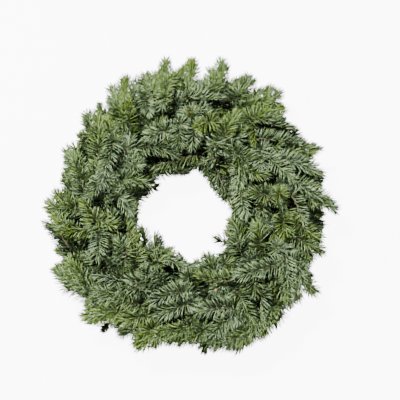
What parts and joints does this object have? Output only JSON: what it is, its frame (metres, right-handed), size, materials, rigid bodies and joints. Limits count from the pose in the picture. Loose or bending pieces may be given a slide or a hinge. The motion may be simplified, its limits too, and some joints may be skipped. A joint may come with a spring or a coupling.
{
  "type": "fir wreath",
  "caption": "Lying ring of fir sprays, bound clockwise with reel wire to a wire frame, with an open centre.",
  "frame": {"origin": "middle of the whole wreath's outline, at the level of the surface that it lies on", "axes": "+Z from the back up through the front; the sprays run clockwise seen from +Z; -Y is the picture's near side"},
  "size_m": [0.5046, 0.5284, 0.101],
  "materials": {
    "noble_fir": "matte needles on brown twigs",
    "frame_steel": "green lacquer",
    "reel_wire": "green lacquer"
  },
  "bodies": {
    "root": {"wire_frame": "frame_steel", "binding_wire": "reel_wire", "outer_spray_01": "noble_fir", "outer_spray_02": "noble_fir", "outer_spray_03": "noble_fir", "outer_spray_04": "noble_fir", "outer_spray_05": "noble_fir", "outer_spray_06": "noble_fir", "outer_spray_07": "noble_fir", "outer_spray_08": "noble_fir", "outer_spray_09": "noble_fir", "outer_spray_10": "noble_fir", "outer_spray_11": "noble_fir", "outer_spray_12": "noble_fir", "outer_spray_13": "noble_fir", "outer_spray_14": "noble_fir", "hole_spray_01": "noble_fir", "hole_spray_02": "noble_fir", "hole_spray_03": "noble_fir", "hole_spray_04": "noble_fir", "hole_spray_05": "noble_fir", "hole_spray_06": "noble_fir", "hole_spray_07": "noble_fir", "hole_spray_08": "noble_fir", "hole_spray_09": "noble_fir", "hole_spray_10": "noble_fir", "hole_spray_11": "noble_fir", "hole_spray_12": "noble_fir", "hole_spray_13": "noble_fir", "hole_spray_14": "noble_fir", "crown_spray_01": "noble_fir", "crown_spray_02": "noble_fir", "crown_spray_03": "noble_fir", "crown_spray_04": "noble_fir", "crown_spray_05": "noble_fir", "crown_spray_06": "noble_fir", "crown_spray_07": "noble_fir", "crown_spray_08": "noble_fir", "crown_spray_09": "noble_fir", "crown_spray_10": "noble_fir", "crown_spray_11": "noble_fir", "crown_spray_12": "noble_fir", "crown_spray_13": "noble_fir", "crown_spray_14": "noble_fir", "shoulder_spray_01": "noble_fir", "shoulder_spray_02": "noble_fir", "shoulder_spray_03": "noble_fir", "shoulder_spray_04": "noble_fir", "shoulder_spray_05": "noble_fir", "shoulder_spray_06": "noble_fir", "shoulder_spray_07": "noble_fir", "shoulder_spray_08": "noble_fir", "shoulder_spray_09": "noble_fir", "shoulder_spray_10": "noble_fir", "shoulder_spray_11": "noble_fir", "shoulder_spray_12": "noble_fir", "shoulder_spray_13": "noble_fir", "shoulder_spray_14": "noble_fir"}
  },
  "joints": []
}
